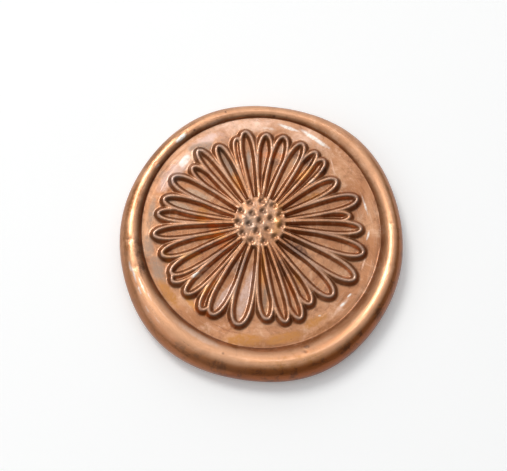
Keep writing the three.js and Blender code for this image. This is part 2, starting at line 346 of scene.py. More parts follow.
# The daisy's eye: a low dome with rings of dimples, each ring as how many, share of the eye's radius and
# bearing of the first in degrees
EYE_CENTRE = FLOWER_CENTRE + np.array([0.04, 0.12]) * MM
EYE_RADIUS = 2.8 * MM
EYE_EDGE_RISE = 0.5 * MM
EYE_DOME_RISE = 0.15 * MM
EYE_EDGE_SOFTNESS = 0.25 * MM
DIMPLE_RADIUS = 0.23 * MM
DIMPLE_DEPTH = 0.2 * MM
DIMPLE_LIP = 0.02 * MM
DIMPLE_RINGS = ((1, 0, 0), (6, 0.42, 25), (11, 0.8, -2))
# Beads of wax that stand between the dimples: place from the eye's middle in mm, and size
BEAD_RADIUS = 0.27 * MM
BEAD_RISE = 0.1 * MM
BEADS = (
    (-0.4, 3, 1), (0.1, 1.9, 0.7), (-2.4, 1, 0.8), (-2.6, -0.2, 1), (-1.6, 0.1, 0.8), (-0.3, 0.5, 1),
    (0.7, 0.9, 1), (1.6, 1.8, 1), (1.9, 0.4, 1.2), (-0.4, -0.7, 0.8), (1.7, -1, 1), (0.5, -1.6, 0.6),
    (-1.1, -2.1, 1), (-1.9, -1.1, 0.8), (1.3, 2.8, 0.7), (0.3, 2.3, 0.6),
)

# Marks left as the rim set: bearing in degrees, share of the way from the face to the outer edge, length
# along the rim, width and depth in mm. A mark with a negative depth stands up, such as a bubble or a scuff.
RIM_MARKS = (
    (301, 0.33, 0.42, 0.42, -0.07), (301, 0.33, 0.2, 0.2, 0.16), (140, 0.6, 0.4, 0.25, 0.06),
    (195, 0.62, 0.3, 0.5, 0.07), (196, 0.62, 0.12, 0.3, -0.05), (208, 0.45, 0.35, 0.25, 0.05),
    (214, 0.52, 1.3, 0.07, -0.03), (218, 0.74, 1.8, 0.08, -0.03), (226, 0.56, 1.0, 0.06, -0.025),
    (230, 0.78, 0.9, 0.07, -0.03), (206, 0.78, 0.8, 0.06, -0.025), (212, 0.3, 0.6, 0.12, 0.04),
    (262, 0.86, 0.25, 0.3, 0.06), (280, 0.84, 0.3, 0.2, 0.05), (17, 0.48, 0.14, 0.14, 0.05),
    (358, 0.62, 0.16, 0.3, 0.05), (119, 0.75, 0.14, 0.2, 0.04), (158, 0.4, 0.3, 0.12, 0.04),
    (137, 0.35, 0.12, 0.3, 0.04), (240, 0.66, 0.5, 0.12, 0.03), (325, 0.2, 0.5, 0.1, 0.03),
)

# The mesh has this many points round it, steps up the rim's inner side, down its outer side and in under its
# belly, and rings round the flower's middle at these shares of the way to the face's edge, which are closest
# over the eye and over the petals' tips
AROUND = 690
INNER_STEPS, OUTER_STEPS, UNDER_STEPS = 15, 14, 8
FLOWER_RINGS = np.concatenate([
    np.linspace(0.1, 3.2, 31),
    np.linspace(3.35, 8, 22),
    np.linspace(8.08, 12.5, 51),
]) / 12.5

# The grid that the relief is worked out on: cells along a side, how far it goes past the face, and how far
# round a point the mean height is taken
RELIEF_CELLS = 270
RELIEF_MARGIN = 1 * MM
RELIEF_SPREAD = 0.7 * MM


def smooth_step(value):
    """0 up to 0, 1 from 1, and 3 v squared less 2 v cubed between."""
    held = np.clip(value, 0, 1)
    return held * held * (3 - 2 * held)


def nearness(bearing, middle):
    """How near a bearing is to a middle one, given in degrees: half of 1 plus the cosine of the angle between
    them, which is 1 there and 0 on the opposite side."""
    return (1 + np.cos(bearing - math.radians(middle))) / 2


def petal_half_width(share):
    """Half-width as a share of the widest: the share of the way from root to tip to the power of the taper,
    times the root of 1 less the share to the power of the bluntness, over the largest value of that."""
    def swell(s):
        return s**ROOT_TAPER * np.sqrt(np.maximum(0, 1 - s**TIP_BLUNTNESS))
    widest_at = (ROOT_TAPER / (ROOT_TAPER + TIP_BLUNTNESS / 2)) ** (1 / TIP_BLUNTNESS)
    return swell(share) / swell(widest_at)


def line_height(distance):
    """Height of a raised line at a distance from its middle: full along its top, then down a slope that is
    half straight and half an S curve."""
    share = np.clip((LINE_FOOT / 2 - distance) / (LINE_FOOT / 2 - LINE_TOP / 2), 0, 1)
    return LINE_RISE * (0.5 * share + 0.5 * smooth_step(share))


def press_petals(x, y):
    """Height of the petals' lines over the face. Petals are laid from back to front. Inside its own line a
    petal hides what is behind it, and outside it the higher of the two heights holds."""
    height = np.zeros(x.shape)
    for bearing, reach, width in PETALS:
        turn = math.radians(bearing)
        out = (x - FLOWER_CENTRE[0]) * math.cos(turn) + (y - FLOWER_CENTRE[1]) * math.sin(turn)
        aside = np.abs((y - FLOWER_CENTRE[1]) * math.cos(turn) - (x - FLOWER_CENTRE[0]) * math.sin(turn))
        tip = reach * LONGEST_PETAL
        belly = width * WIDEST_PETAL / 2
        near = (out > PETAL_ROOT - LINE_FOOT) & (out < tip + LINE_FOOT) & (aside < belly + LINE_FOOT)
        u, v = out[near], aside[near]
        share = np.sin(np.linspace(0, np.pi / 2, PETAL_STEPS))
        side = np.stack([PETAL_ROOT + (tip - PETAL_ROOT) * share, belly * petal_half_width(share)], -1)
        start, step = side[:-1], np.diff(side, axis=0)
        offset = np.stack([u, v], -1)[:, None] - start
        along = np.clip((offset * step).sum(-1) / (step**2).sum(-1), 0, 1)
        distance = np.sqrt(((offset - along[..., None] * step) ** 2).sum(-1)).min(1)
        place = np.clip((u - PETAL_ROOT) / (tip - PETAL_ROOT), 0, 1)
        inside = (u > PETAL_ROOT) & (u < tip) & (v < belly * petal_half_width(place))
        line = line_height(distance)
        height[near] = np.where(inside, np.maximum(line, FLOOR_RISE), np.maximum(height[near], line))
    return height


def press_eye(x, y, height):
    """The dome over what is there, then a soft pit with a faint ring round it for each dimple, and the beads.
    Pit, ring and bead are bells of the distance over the radius."""
    away = np.hypot(x - EYE_CENTRE[0], y - EYE_CENTRE[1])
    dome = EYE_EDGE_RISE + EYE_DOME_RISE * (1 - np.minimum(away / EYE_RADIUS, 1) ** 2)
    dome = dome * smooth_step((EYE_RADIUS + EYE_EDGE_SOFTNESS / 2 - away) / EYE_EDGE_SOFTNESS)
    height = np.maximum(height, dome)
    for count, share, first in DIMPLE_RINGS:
        for bearing in math.radians(first) + np.arange(count) / count * 2 * np.pi:
            dx = x - EYE_CENTRE[0] - share * EYE_RADIUS * math.cos(bearing)
            dy = y - EYE_CENTRE[1] - share * EYE_RADIUS * math.sin(bearing)
            spread = np.hypot(dx, dy) / DIMPLE_RADIUS
            height = height - DIMPLE_DEPTH * np.exp(-(spread**2))
            height = height + DIMPLE_LIP * np.exp(-(((spread - 2) / 0.8) ** 2))
    for dx, dy, size in BEADS:
        spread = np.hypot(x - EYE_CENTRE[0] - dx * MM, y - EYE_CENTRE[1] - dy * MM) / (BEAD_RADIUS * size)
        height = height + BEAD_RISE * size * np.exp(-(spread**2))
    return height


def face_waves(x, y):
    """How uneven the pressed face is: three long waves across each other."""
    return FACE_WAVE_HEIGHT * (
        np.sin(x / (2.1 * MM) + 0.8 * np.sin(y / (3.3 * MM)))
        + np.sin((0.6 * x + 0.8 * y) / (1.7 * MM) + 1.3)
        + 0.6 * np.sin((x - 1.4 * y) / (1.1 * MM) + 0.5)
    )


def quarter_turn(steps):
    """The cosine and the sine of even turns from 0 to a quarter of a circle."""
    turn = np.linspace(0, np.pi / 2, steps)
    return np.cos(turn), np.sin(turn)


def raise_lumps(rings):
    """Low lumps in the rim: two sines of the bearing times each other, plus a finer one that slants with the
    height, faded in from the face's edge."""
    bearing = np.arctan2(rings[..., 1], rings[..., 0])
    lumps = np.sin(9 * bearing + 1) * np.sin(4 * bearing)
    lumps += 0.7 * np.sin(17 * bearing + 2 + rings[..., 2] / (0.3 * MM))
    beyond = np.hypot(rings[..., 0] - FACE_CENTRE[0], rings[..., 1] - FACE_CENTRE[1]) - FACE_RADIUS
    lumps *= smooth_step(beyond / LUMP_START) * (rings[..., 2] > BELLY_LEVEL)
    rings[..., 2] += LUMP_HEIGHT * lumps


def press_marks(rings, bearing, face, edge):
    """The rim's marks. Each is a bell of the distance from its middle over its width and length, bent to run
    along the rim."""
    for turn, share, length, breadth, depth in RIM_MARKS:
        turn = math.radians(turn)
        start, end = (
            np.array([np.interp(turn, bearing, line[:, axis]) for axis in (0, 1)])
            for line in (face, edge)
        )
        away = rings[..., :2] - (start + (end - start) * share)
        outwards = away[..., 0] * math.cos(turn) + away[..., 1] * math.sin(turn)
        along = away[..., 1] * math.cos(turn) - away[..., 0] * math.sin(turn)
        outwards = outwards + along**2 / (2 * (FACE_RADIUS + RIM_WIDTH / 2))
        spread = (outwards / (breadth * MM)) ** 2 + (along / (length * MM)) ** 2
        rings[..., 2] -= np.where(rings[..., 2] > BELLY_LEVEL, depth * MM * np.exp(-spread), 0)


def ring_at(place, height):
    """One ring of the skin, from its places seen from above and its height, which may be a single number."""
    return np.concatenate([place, np.broadcast_to(height, AROUND)[:, None]], -1)[None]


def wax_surface():
    """The face in rings that are shares of the way from the flower's middle to its edge, then up the inner
    side of the rim, over its crest, down round the belly and in to the edge of the underside. The inner side
    is 1 less the square of the share of the way from the crest, to a power that makes it a quarter turn on
    the far left and more hollow on the near right. The others are quarter turns."""
    bearing = np.linspace(0, 2 * np.pi, AROUND, endpoint=False)
    ray = np.stack([np.cos(bearing), np.sin(bearing)], -1)
    pool = FACE_RADIUS + RIM_WIDTH + sum(
        height * np.cos(lobes * (bearing - math.radians(first))) for lobes, height, first in POOL_WAVES)
    edge = ray * pool[:, None]
    foot = ray * (pool - FOOT_INSET)[:, None]
    face = FACE_CENTRE + ray * FACE_RADIUS
    crest_share = CREST_SHARE + CREST_SWAY * np.cos(bearing - math.radians(CREST_SWAY_BEARING))
    crest = face + (edge - face) * crest_share[:, None]
    width = np.hypot(*(edge - face).T)

    flat = FLOWER_CENTRE + (face - FLOWER_CENTRE) * FLOWER_RINGS[:, None, None]
    x, y = flat[..., 0], flat[..., 1]
    level = FACE_LEVEL + press_eye(x, y, press_petals(x, y)) + face_waves(x, y)
    rings = [np.concatenate([flat, level[..., None]], -1)]

    # Slow waves take up to 6 hundredths off the rise of the crest
    unevenness = 0.97 + 0.02 * np.cos(3 * bearing + 0.7) + 0.01 * np.cos(7 * bearing + 2)
    crest_level = FACE_LEVEL + CREST_RISE_SHARE * width * unevenness
    power = FULL_POWER + HOLLOW_POWER * nearness(bearing, HOLLOW_BEARING) ** 2
    for reach in quarter_turn(INNER_STEPS)[0][1:]:
        height = FACE_LEVEL + (crest_level - FACE_LEVEL) * (1 - reach**2) ** power
        rings.append(ring_at(crest + (face - crest) * reach, height))
    for reach, rise in list(zip(*quarter_turn(OUTER_STEPS)))[-2::-1]:
        height = BELLY_LEVEL + (crest_level - BELLY_LEVEL) * rise
        rings.append(ring_at(crest + (edge - crest) * reach, height))
    for drop, reach in list(zip(*quarter_turn(UNDER_STEPS)))[-2::-1]:
        rings.append(ring_at(foot + (edge - foot) * reach, BELLY_LEVEL - BELLY_RISE * drop))
    for share in (0.85, 0.6, 0.3):
        rings.append(ring_at(foot * share, WAX_BOTTOM))
    rings = np.concatenate(rings)
    raise_lumps(rings)
    press_marks(rings, bearing, face, edge)
    return rings


def relief(x, y):
    """How far a point of the face stands above its surroundings, as a share of a line's rise: its height less
    the mean height round it. The mean is the face on a square grid, spread by a Gaussian along x and y."""
    half = FACE_RADIUS + RELIEF_MARGIN
    ticks = np.linspace(-half, half, RELIEF_CELLS)
    grid_x, grid_y = np.meshgrid(ticks + FACE_CENTRE[0], ticks + FACE_CENTRE[1])
    level = press_eye(grid_x, grid_y, press_petals(grid_x, grid_y))
    weights = np.exp(-(((ticks[:, None] - ticks) / RELIEF_SPREAD) ** 2) / 2)
    weights = weights / weights.sum(1, keepdims=True)
    difference = level - weights @ level @ weights.T
    last = RELIEF_CELLS - 1
    column = np.clip((x - FACE_CENTRE[0] + half) / (2 * half) * last, 0, last - 0.001)
    row = np.clip((y - FACE_CENTRE[1] + half) / (2 * half) * last, 0, last - 0.001)
    i, j = row.astype(int), column.astype(int)
    u, v = column - j, row - i
    below = difference[i, j] * (1 - u) + difference[i, j + 1] * u
    above = difference[i + 1, j] * (1 - u) + difference[i + 1, j + 1] * u
    inside = np.hypot(x - FACE_CENTRE[0], y - FACE_CENTRE[1]) < FACE_RADIUS
    return np.where(inside, (below * (1 - v) + above * v) / LINE_RISE, 0)


# Smears of other tones in the copper wax, the lowest layer first: the tone as a screen shows it, and its
# smears, each as the place in mm, the angle in degrees, the length and width in mm and the strength
SMEARS = {
    # The pale smears are partly the wax's own pale tone and partly painted highlights and reflections, on the
    # rim's crest at the near left and near right and on the face near its far edge and its right edge
    "pale": ((236, 192, 164), (
        (-3.8, 12.0, 12, 5.5, 1.0, 0.55), (3.0, 11.4, -20, 3.6, 0.9, 0.35), (-9.6, 6.8, 55, 3.4, 1.2, 0.7),
        (5.6, 9.6, -65, 1.5, 0.12, 0.6), (10.8, -0.2, 85, 0.9, 0.15, 0.7), (9.4, -5.2, 60, 2.3, 0.3, 0.6),
        (3.8, 7.3, 20, 0.6, 0.35, 0.7), (-10.4, -10.0, -45, 3.6, 0.7, 0.25),
        (6.7, -10.35, 30, 0.22, 0.18, 0.9), (-4.4, -11.6, -18, 3.2, 0.5, 0.8),
    )),
    "ochre": ((168, 106, 54), (
        (2.0, -11.0, 12, 4.5, 0.9, 0.7), (5.0, -9.7, 28, 3.6, 0.9, 0.6),
        (2.0, 12.6, -15, 2.4, 0.25, 0.5), (-5.2, -9.6, -30, 3.2, 0.7, 0.35), (7.6, -8.6, 45, 4.4, 0.8, 0.6),
        (0.4, 0.9, 60, 1.4, 0.8, 0.5), (-12.9, 6.7, 63, 2.8, 0.6, 0.5), (-13.9, 1.4, 84, 2.8, 0.7, 0.8),
        (-13.5, -3.6, -75, 2.4, 0.7, 0.5),
    )),
    "pink": ((222, 186, 172), (
        (-10.6, 5.0, 62, 3.0, 1.1, 0.7), (-8.0, 9.4, 38, 2.4, 0.7, 0.6),
        (-2.4, -3.7, 50, 1.8, 0.35, 0.35), (-2.6, -6.7, 65, 2.0, 0.5, 0.95), (-0.5, -6.0, 85, 3.4, 0.65, 1.0),
        (-0.7, 1.7, 80, 2.9, 2.9, 0.15),
    )),
    # The umber smear at (3.9, -0.4) over the inner petals on the right is painted shade; the others are dark
    # tones and specks
    "umber": ((118, 72, 44), (
        (2.8, 9.4, -35, 1.8, 0.8, 0.55), (-0.4, 8.5, 80, 1.0, 0.6, 0.6), (-4.0, -2.2, 42, 3.0, 0.6, 0.5),
        (2.6, -2.6, -50, 1.6, 0.6, 0.5), (-9.4, 10.1, 45, 0.22, 0.16, 0.8),
        (-6.6, 12.8, 30, 0.16, 0.16, 0.8), (-11.9, -5.3, -62, 2.4, 0.45, 0.6),
        (6.7, -10.4, 30, 0.42, 0.32, 0.7), (0.6, -14.9, 2, 3.2, 0.45, 0.7), (4.4, -14.4, 22, 1.3, 0.4, 0.6),
        (-12.5, -3.6, -70, 1.7, 0.5, 0.5), (3.9, -0.4, -18, 2.0, 0.8, 0.9), (-1.6, -3.2, 72, 1.6, 0.6, 0.6),
        (1.7, 9.9, 60, 0.9, 0.45, 0.6), (4.7, 8.6, 45, 0.9, 0.5, 0.6),
    )),
    "grey": ((162, 130, 108), (
        (-8.3, 8.6, 25, 1.7, 0.6, 0.95), (-11.6, 5.0, 70, 1.8, 0.5, 0.5), (-11.9, 0.4, 92, 2.4, 0.5, 0.7),
        (-11.4, -3.3, -72, 1.7, 0.7, 0.7), (-9.9, -5.5, -58, 2.2, 0.9, 0.85), (-3.2, 8.3, 95, 1.6, 0.4, 0.8),
        (-4.6, 6.7, -50, 1.9, 0.5, 0.8), (-5.9, 8.1, -55, 1.6, 0.5, 0.6), (1.5, -5.9, -85, 1.7, 0.35, 0.7),
        (-1.7, 1.4, 80, 2.2, 1.5, 0.65), (-0.7, 1.7, 80, 3.2, 3.2, 0.4),
    )),
    "ash": ((200, 166, 142), (
        (1.7, 9.2, 65, 0.7, 0.3, 0.8), (0.1, 9.8, 80, 0.8, 0.3, 0.7), (-7.6, 3.4, -16, 1.7, 0.45, 0.9),
        (-9.1, 1.8, -8, 1.8, 0.4, 0.9),
    )),
    "rust": ((206, 124, 60), (
        (-0.8, 9.3, 8, 2.6, 0.5, 0.7), (-5.1, -0.1, -40, 1.1, 0.6, 0.9), (-3.7, -1.5, 35, 0.9, 0.5, 0.9),
        (-4.5, -9.0, -15, 1.5, 0.35, 0.9), (4.0, -4.6, -62, 1.7, 0.4, 0.8),
    )),
    "gold": ((196, 130, 62), (
        (-8.3, -7.8, -42, 2.2, 0.7, 0.9), (7.0, -7.4, 42, 1.8, 0.6, 0.8), (4.2, -9.8, 22, 2.6, 0.7, 0.8),
        (0.2, -10.9, 15, 2.6, 0.8, 0.9), (4.2, 5.7, 30, 1.6, 0.5, 0.8), (3.4, 8.5, 45, 0.8, 0.4, 0.9),
        (-6.7, 1.4, 85, 1.3, 0.7, 1.0), (0.5, -2.9, 95, 2.4, 0.35, 0.9), (4.4, -3.3, -60, 1.0, 0.35, 0.9),
        (1.0, 3.2, 100, 1.6, 0.8, 0.5), (5.6, -13.0, 25, 7.0, 2.4, 0.4),
    )),
    "orange": ((224, 154, 80), (
        (2.8, 7.7, 55, 1.1, 0.5, 1.0), (-3.8, 5.4, -52, 1.5, 0.6, 0.8), (-6.5, 0.6, 10, 0.9, 0.4, 0.9),
        (-4.6, -0.7, 15, 1.2, 0.5, 0.9), (-5.9, -1.1, 15, 1.4, 0.4, 0.8), (-7.0, -3.4, 20, 1.5, 0.5, 0.8),
        (-9.5, -3.8, -50, 1.4, 0.45, 0.8), (-4.2, -6.2, 55, 2.0, 0.35, 0.6), (-6.1, -8.0, -45, 1.6, 0.4, 0.7),
        (0.7, -3.8, 100, 1.5, 0.5, 0.7), (1.2, 1.4, 90, 1.5, 0.6, 0.5),
    )),
    # The white smears are painted highlights, glints and reflection streaks on the rim, in the petals and on
    # the face, some of them along scuffs on the rim
    "white": ((246, 238, 230), (
        (0.2, 12.7, -8, 1.5, 0.22, 0.7), (3.2, 12.1, -22, 2.1, 0.3, 0.8), (-1.6, 12.2, 5, 1.0, 0.2, 0.5),
        (9.8, 6.0, -62, 1.4, 0.15, 0.6), (-9.7, 6.7, 60, 0.9, 0.5, 1.0), (10.7, 2.9, 85, 0.7, 0.15, 0.7),
        (9.5, -5.0, 52, 0.5, 0.14, 0.8), (10.0, -3.9, 58, 0.4, 0.12, 0.8), (7.4, -6.7, 30, 0.25, 0.14, 0.7),
        (-5.9, -5.3, 35, 0.7, 0.28, 1.0), (-5.2, -4.5, 45, 0.7, 0.14, 0.9), (-10.6, 8.9, 52, 0.9, 0.26, 1.0),
        (-12.3, 5.4, 62, 0.5, 0.14, 0.5), (-11.4, -7.4, -54, 1.4, 0.09, 0.7),
        (-12.5, -6.3, -58, 1.8, 0.12, 0.8), (-10.9, -8.6, -48, 1.7, 0.1, 0.8),
        (-9.6, -9.2, -44, 1.4, 0.09, 0.7), (-9.3, -10.6, -40, 1.8, 0.1, 0.8),
    )),
}

# How far below the face's level the wax still counts as its top
TOP_MARGIN = 0.1 * MM
# The pale rolled skin of the rim: its strength, what is added to that at its strongest bearing, in degrees,
# and how far from the face's edge it is in full
ROLLED_STRENGTH = 0.5
ROLLED_EXTRA = 0.2
ROLLED_BEARING = 255
ROLLED_START = 0.8 * MM
# The flank's rust tone, partly painted shade on the steep outer side at the near right: the bearing of its
# middle, how closely it keeps to that, how far from the face's edge it begins, and how much further it is in
# full
FLANK_BEARING = 312
FLANK_CLOSENESS = 1.5
FLANK_START = 1 * MM
FLANK_BLEND = 0.6 * MM
# The painted shade in the crease round the face: its width and depth all round, what the near side adds to
# each, how far the depth swells at one bearing and its opposite, and how far its middle moves outwards at
# another
CREASE_WIDTH = 0.25 * MM
CREASE_NEAR_WIDTH = 0.3 * MM
CREASE_DEPTH = 0.1
CREASE_NEAR_DEPTH = 0.5
CREASE_SWELL = 0.3
CREASE_SWELL_BEARING = 5
CREASE_SHIFT = 0.3 * MM
CREASE_SHIFT_BEARING = 245
NEAR_BEARING = 270

# Tones of the wax's body, of its streaks and mottling, of the rolled skin, of raised lines, of the flank's
# rust with its painted shade, and of specks
BODY_DARK = screen_colour(190, 126, 80)
BODY_PALE = screen_colour(214, 156, 114)
STREAK_DARK = screen_colour(156, 88, 50)
STREAK_PALE = screen_colour(236, 200, 174)
MOTTLE_DARK = screen_colour(152, 92, 52)
MOTTLE_PALE = screen_colour(234, 190, 158)
ROLLED_TONE = screen_colour(236, 176, 132)
RAISED_TONE = screen_colour(159, 134, 121)
RUST_SHADE_DARK = screen_colour(128, 72, 38)
RUST_SHADE_BRIGHT = screen_colour(184, 104, 48)
SPECK_TONE = screen_colour(96, 56, 36)
# Painted shade: shares of red, green and blue that the wax keeps where it is sunken, in the crease and on
# steep sides
SUNKEN_SHADE = (0.6, 0.53, 0.43, 1)
CREASE_SHADE = (0.36, 0.24, 0.15, 1)
STEEP_SHADE = (0.52, 0.42, 0.3, 1)


def smear_depth(x, y, patches):
    """How deep a point lies in one tone's smears: the largest of each one's strength times 1.5 less 1.33
    times the distance from its middle as a share of its ellipse, held between 0 and 1."""
    depth = np.zeros(x.shape)
    for middle_x, middle_y, angle, length, width, strength in patches:
        dx, dy, turn = x / MM - middle_x, y / MM - middle_y, math.radians(angle)
        along = (dx * math.cos(turn) + dy * math.sin(turn)) / length
        aside = (dy * math.cos(turn) - dx * math.sin(turn)) / width
        depth = np.maximum(depth, strength * np.clip(1.5 - 1.33 * np.hypot(along, aside), 0, 1))
    return depth


def skin_masks(points):
    """How strongly each look shows at the wax's points, by name. The rolled skin and the flank are smooth
    steps outwards from the face, and change round it with a power of the nearness to their bearings. The
    painted shade in the crease is a bell across its width. It and the relief are on the top only, and smears
    end over the foot."""
    x, y, height = points.T
    outwards = np.hypot(x - FACE_CENTRE[0], y - FACE_CENTRE[1]) - FACE_RADIUS
    bearing = np.arctan2(y - FACE_CENTRE[1], x - FACE_CENTRE[0])
    on_top = height > FACE_LEVEL - TOP_MARGIN
    strength = ROLLED_STRENGTH + ROLLED_EXTRA * nearness(bearing, ROLLED_BEARING) ** 2
    flank = nearness(bearing, FLANK_BEARING) ** FLANK_CLOSENESS

    near_side = nearness(bearing, NEAR_BEARING)
    swell = CREASE_SWELL * np.cos(2 * (bearing - math.radians(CREASE_SWELL_BEARING)))
    depth = np.maximum(0, CREASE_DEPTH + CREASE_NEAR_DEPTH * near_side**2 + swell)
    middle = CREASE_SHIFT * nearness(bearing, CREASE_SHIFT_BEARING)
    spread = (outwards - middle) / (CREASE_WIDTH + CREASE_NEAR_WIDTH * near_side)
    masks = {
        "relief": np.where(on_top, relief(x, y), 0),
        "rolled": smooth_step(outwards / ROLLED_START) * strength,
        "flank": smooth_step((outwards - FLANK_START) / FLANK_BLEND) * flank,
        "crease": np.where(on_top, depth * np.exp(-(spread**2)), 0),
    }
    over_foot = height > WAX_BOTTOM + BELLY_RISE / 2
    for tone, (_, patches) in SMEARS.items():
        masks["smear " + tone] = np.where(over_foot, smear_depth(x, y, patches), 0)
    return masks


def painted(tree, name):
    """The value of one of the skin's masks."""
    return node(tree, "Attribute", {"attribute_name": name}).outputs["Fac"]


def noise(tree, where, per_mm, detail, roughness):
    """Noise from 0 to 1 at these coordinates, with about so many blots to a millimetre."""
    made = node(tree, "TexNoise", Vector=where, Scale=per_mm / MM, Detail=detail, Roughness=roughness)
    return made.outputs["Fac"]


def vector_maths(tree, operation, *values):
    """The outputs of a Vector Math node on these values: Vector, or Value where its result is one number."""
    made = node(tree, "VectorMath", {"operation": operation})
    for socket, value in zip(made.inputs, values):
        feed(tree, socket, value)
    return made.outputs


def stirred_wax(tree, where):
    """The colour of the wax itself, and its swirls, streaks and mottling. The swirls and the mottling are
    noise at places that slower noise has pushed about. The streaks are noise over the direction from the
    middle of the seal and the distance from it, so that they run round."""
    slow = node(tree, "TexNoise", Vector=where, Scale=0.16 / MM, Detail=2.0)
    push = (5 * MM, 5 * MM, 1 * MM)
    pushed = vector_maths(tree, "MULTIPLY_ADD", slow.outputs["Color"], push, where)["Vector"]
    swirl = noise(tree, pushed, 0.28, 5.0, 0.55)
    colour = blend_colours(tree, ramp(tree, swirl, 0.35, 0.68), BODY_DARK, BODY_PALE)

    flat = vector_maths(tree, "MULTIPLY", where, (1, 1, 0))["Vector"]
    towards = node(tree, "SeparateXYZ", Vector=vector_maths(tree, "NORMALIZE", flat)["Vector"]).outputs
    reach = maths(tree, "MULTIPLY", vector_maths(tree, "LENGTH", flat)["Value"], 1.1 / MM)
    drawn = node(tree, "CombineXYZ", X=towards["X"], Y=towards["Y"], Z=reach).outputs[0]
    streak = node(tree, "TexNoise", Vector=drawn, Scale=2.6, Detail=5.0, Roughness=0.7).outputs["Fac"]
    colour = blend_colours(tree, ramp(tree, streak, 0.55, 0.75, 0.0, 0.55), colour, STREAK_PALE)
    colour = blend_colours(tree, ramp(tree, streak, 0.28, 0.45, 0.55, 0.0), colour, STREAK_DARK)

    mottle = noise(tree, pushed, 0.75, 6.0, 0.75)
    colour = blend_colours(tree, ramp(tree, mottle, 0.5, 0.66, 0.0, 0.7), colour, MOTTLE_DARK)
    colour = blend_colours(tree, ramp(tree, mottle, 0.34, 0.48, 0.6, 0.0), colour, MOTTLE_PALE)
    return colour, swirl, streak, mottle


def lay_smears(tree, where, colour):
    """The colour with the smears laid on it, tone by tone. Noise added to a smear's depth makes its edge
    ragged, and flecks of finer noise let what is under it through."""
    ragged = maths(tree, "SUBTRACT", noise(tree, where, 1.1, 4.0, 0.65), 0.5)
    ragged = maths(tree, "MULTIPLY", ragged, 1.2)
    flecks = ramp(tree, noise(tree, where, 3.2, 3.0, 0.6), 0.35, 0.55, 0.6, 1.0)
    for tone, (shown, _) in SMEARS.items():
        depth = painted(tree, "smear " + tone)
        mask = ramp(tree, maths(tree, "ADD", depth, ragged), 0.1, 0.8)
        mask = maths(tree, "MULTIPLY", mask, flecks)
        mask = maths(tree, "MULTIPLY", mask, ramp(tree, depth, 0.0, 0.3))
        colour = blend_colours(tree, mask, colour, screen_colour(*shown))
    return colour


def copper_wax_material():
    """Pearly copper wax. Level wax is pale and gleams like metal, while painted shade darkens steep and
    sunken wax to a dark brown. Stirred-in tones lie in it as smears, as swirls of noise and as fine streaks
    drawn out round the seal; some of the smears are painted highlights, glints and shade."""
    made, tree, skin = new_material("copper sealing wax")
    coordinates = node(tree, "TexCoord").outputs
    where = coordinates["Object"]
    colour, swirl, streak, mottle = stirred_wax(tree, where)
    colour = blend_colours(tree, painted(tree, "rolled"), colour, ROLLED_TONE)
    colour = lay_smears(tree, where, colour)

    # Raised lines are greyer, and painted shade darkens sunken floors, the crease and steep sides
    relief_value = painted(tree, "relief")
    colour = blend_colours(tree, ramp(tree, relief_value, 0.25, 0.6, 0.0, 0.6), colour, RAISED_TONE)
    sunken = ramp(tree, relief_value, -0.5, 0.0, 0.75, 0.0)
    colour = blend_colours(tree, sunken, colour, SUNKEN_SHADE, "MULTIPLY")
    colour = blend_colours(tree, painted(tree, "crease"), colour, CREASE_SHADE, "MULTIPLY")
    upwards = node(tree, "SeparateXYZ", Vector=coordinates["Normal"]).outputs["Z"]
    # The steep outer side at the near right takes a dark rusty tone, partly painted shade
    flank = maths(tree, "MULTIPLY", painted(tree, "flank"), ramp(tree, upwards, 0.86, 1.0, 0.95, 0.0))
    rusty_shade = blend_colours(tree, ramp(tree, mottle, 0.5, 0.62), RUST_SHADE_BRIGHT, RUST_SHADE_DARK)
    colour = blend_colours(tree, flank, colour, rusty_shade)
    steep = ramp(tree, upwards, 0.5, 0.97, 1.0, 0.0)
    colour = blend_colours(tree, maths(tree, "MULTIPLY", steep, 0.8), colour, STEEP_SHADE, "MULTIPLY")

    # Dark specks, only in the pale swirls
    specks = node(tree, "TexVoronoi", Vector=where, Scale=0.45 / MM)
    speck = ramp(tree, specks.outputs["Distance"], 0.05, 0.12, 1.0, 0.0)
    speck = maths(tree, "MULTIPLY", speck, ramp(tree, swirl, 0.5, 0.6))
    colour = blend_colours(tree, maths(tree, "MULTIPLY", speck, 0.7), colour, SPECK_TONE)
    tree.links.new(colour, skin.inputs["Base Color"])

    flakes = grain(tree, where, 0.08 * MM)["Height"]
    streaky = ramp(tree, streak, 0.3, 0.7, 0.3, 0.4)
    roughness = maths(tree, "ADD", streaky, ramp(tree, flakes, 0.3, 0.7, -0.04, 0.04))
    tree.links.new(roughness, skin.inputs["Roughness"])
    skin.inputs["Metallic"].default_value = 0.7
    # Steep sides and the flank have little of the clear gloss that lies on the rest
    dull = maths(tree, "MULTIPLY", maths(tree, "MAXIMUM", steep, flank), 0.8)
    tree.links.new(maths(tree, "SUBTRACT", 0.9, dull), skin.inputs["Coat Weight"])
    skin.inputs["Coat Roughness"].default_value = 0.1
    ripple = maths(tree, "ADD", maths(tree, "MULTIPLY", flakes, 0.15), streak)
    bump = node(tree, "Bump", Height=ripple, Strength=0.6, Distance=0.06 * MM)
    tree.links.new(bump.outputs["Normal"], skin.inputs["Normal"])
    return made


wax_rings = wax_surface()
middle_level = FACE_LEVEL + float(press_eye(*(FLOWER_CENTRE[:, None]), np.zeros(1))[0])
wax_poles = (*FLOWER_CENTRE, middle_level), (0, 0, WAX_BOTTOM)
wax = closed_skin("pressed_wax", wax_rings, *wax_poles)
wax_points = np.concatenate([wax_rings.reshape(-1, 3), wax_poles])
for name, values in skin_masks(wax_points).items():
    wax.data.attributes.new(name, "FLOAT", "POINT").data.foreach_set("value", values)
wax.data.materials.append(copper_wax_material())
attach(wax, "seal")
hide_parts("wax_seal")

